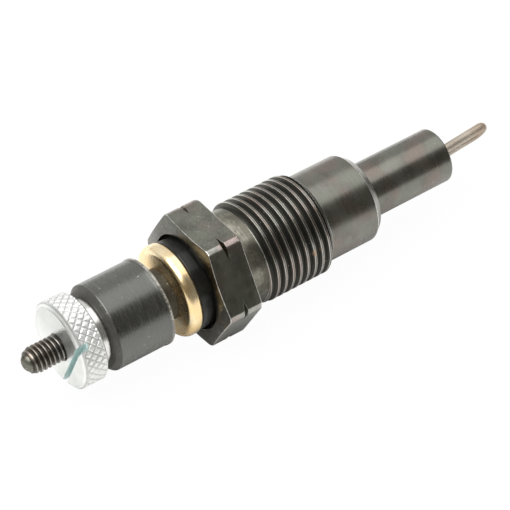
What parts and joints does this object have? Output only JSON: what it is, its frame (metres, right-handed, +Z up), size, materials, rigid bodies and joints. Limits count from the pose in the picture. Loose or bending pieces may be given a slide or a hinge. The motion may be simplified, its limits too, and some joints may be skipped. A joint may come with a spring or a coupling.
{
  "type": "diesel glow plug",
  "caption": "Two-pole wire-loop diesel glow plug: steel hexagon body with engine thread and stepped nose, black insulating spacer, brass ring terminal and knurled stud nut.",
  "frame": {"origin": "on the plug's axis, in the plane of the hexagon's seat face", "axes": "+X along the axis towards the heater loop, +Z up, with two flats of the hexagon level"},
  "size_m": [0.0953, 0.0234, 0.0208],
  "materials": {
    "blackened_steel": "blackened and turned, worn bright on the edges",
    "stud_steel": "burnished dark steel",
    "bright_zinc": "bright zinc plate",
    "washer_zinc": "polished zinc plate",
    "moulded_black": "semi-matt moulded, turned streaks",
    "brass": "polished",
    "glossy_black": "glossy",
    "electrode_steel": "drawn tube",
    "insulator": "fired, unglazed",
    "cement": "cast, rough",
    "heater_wire": "satin, heat tinted"
  },
  "bodies": {
    "root": {"plug_body": "blackened_steel", "centre_electrode": "stud_steel", "thumb_nut": "bright_zinc", "terminal_washer": "washer_zinc", "insulating_spacer": "moulded_black", "ring_terminal": "brass", "collar_insulator": "glossy_black", "outer_electrode": "electrode_steel", "inner_insulator": "insulator", "outer_insulator": "insulator", "nose_cement": "cement", "filament_loop": "heater_wire"}
  },
  "joints": []
}
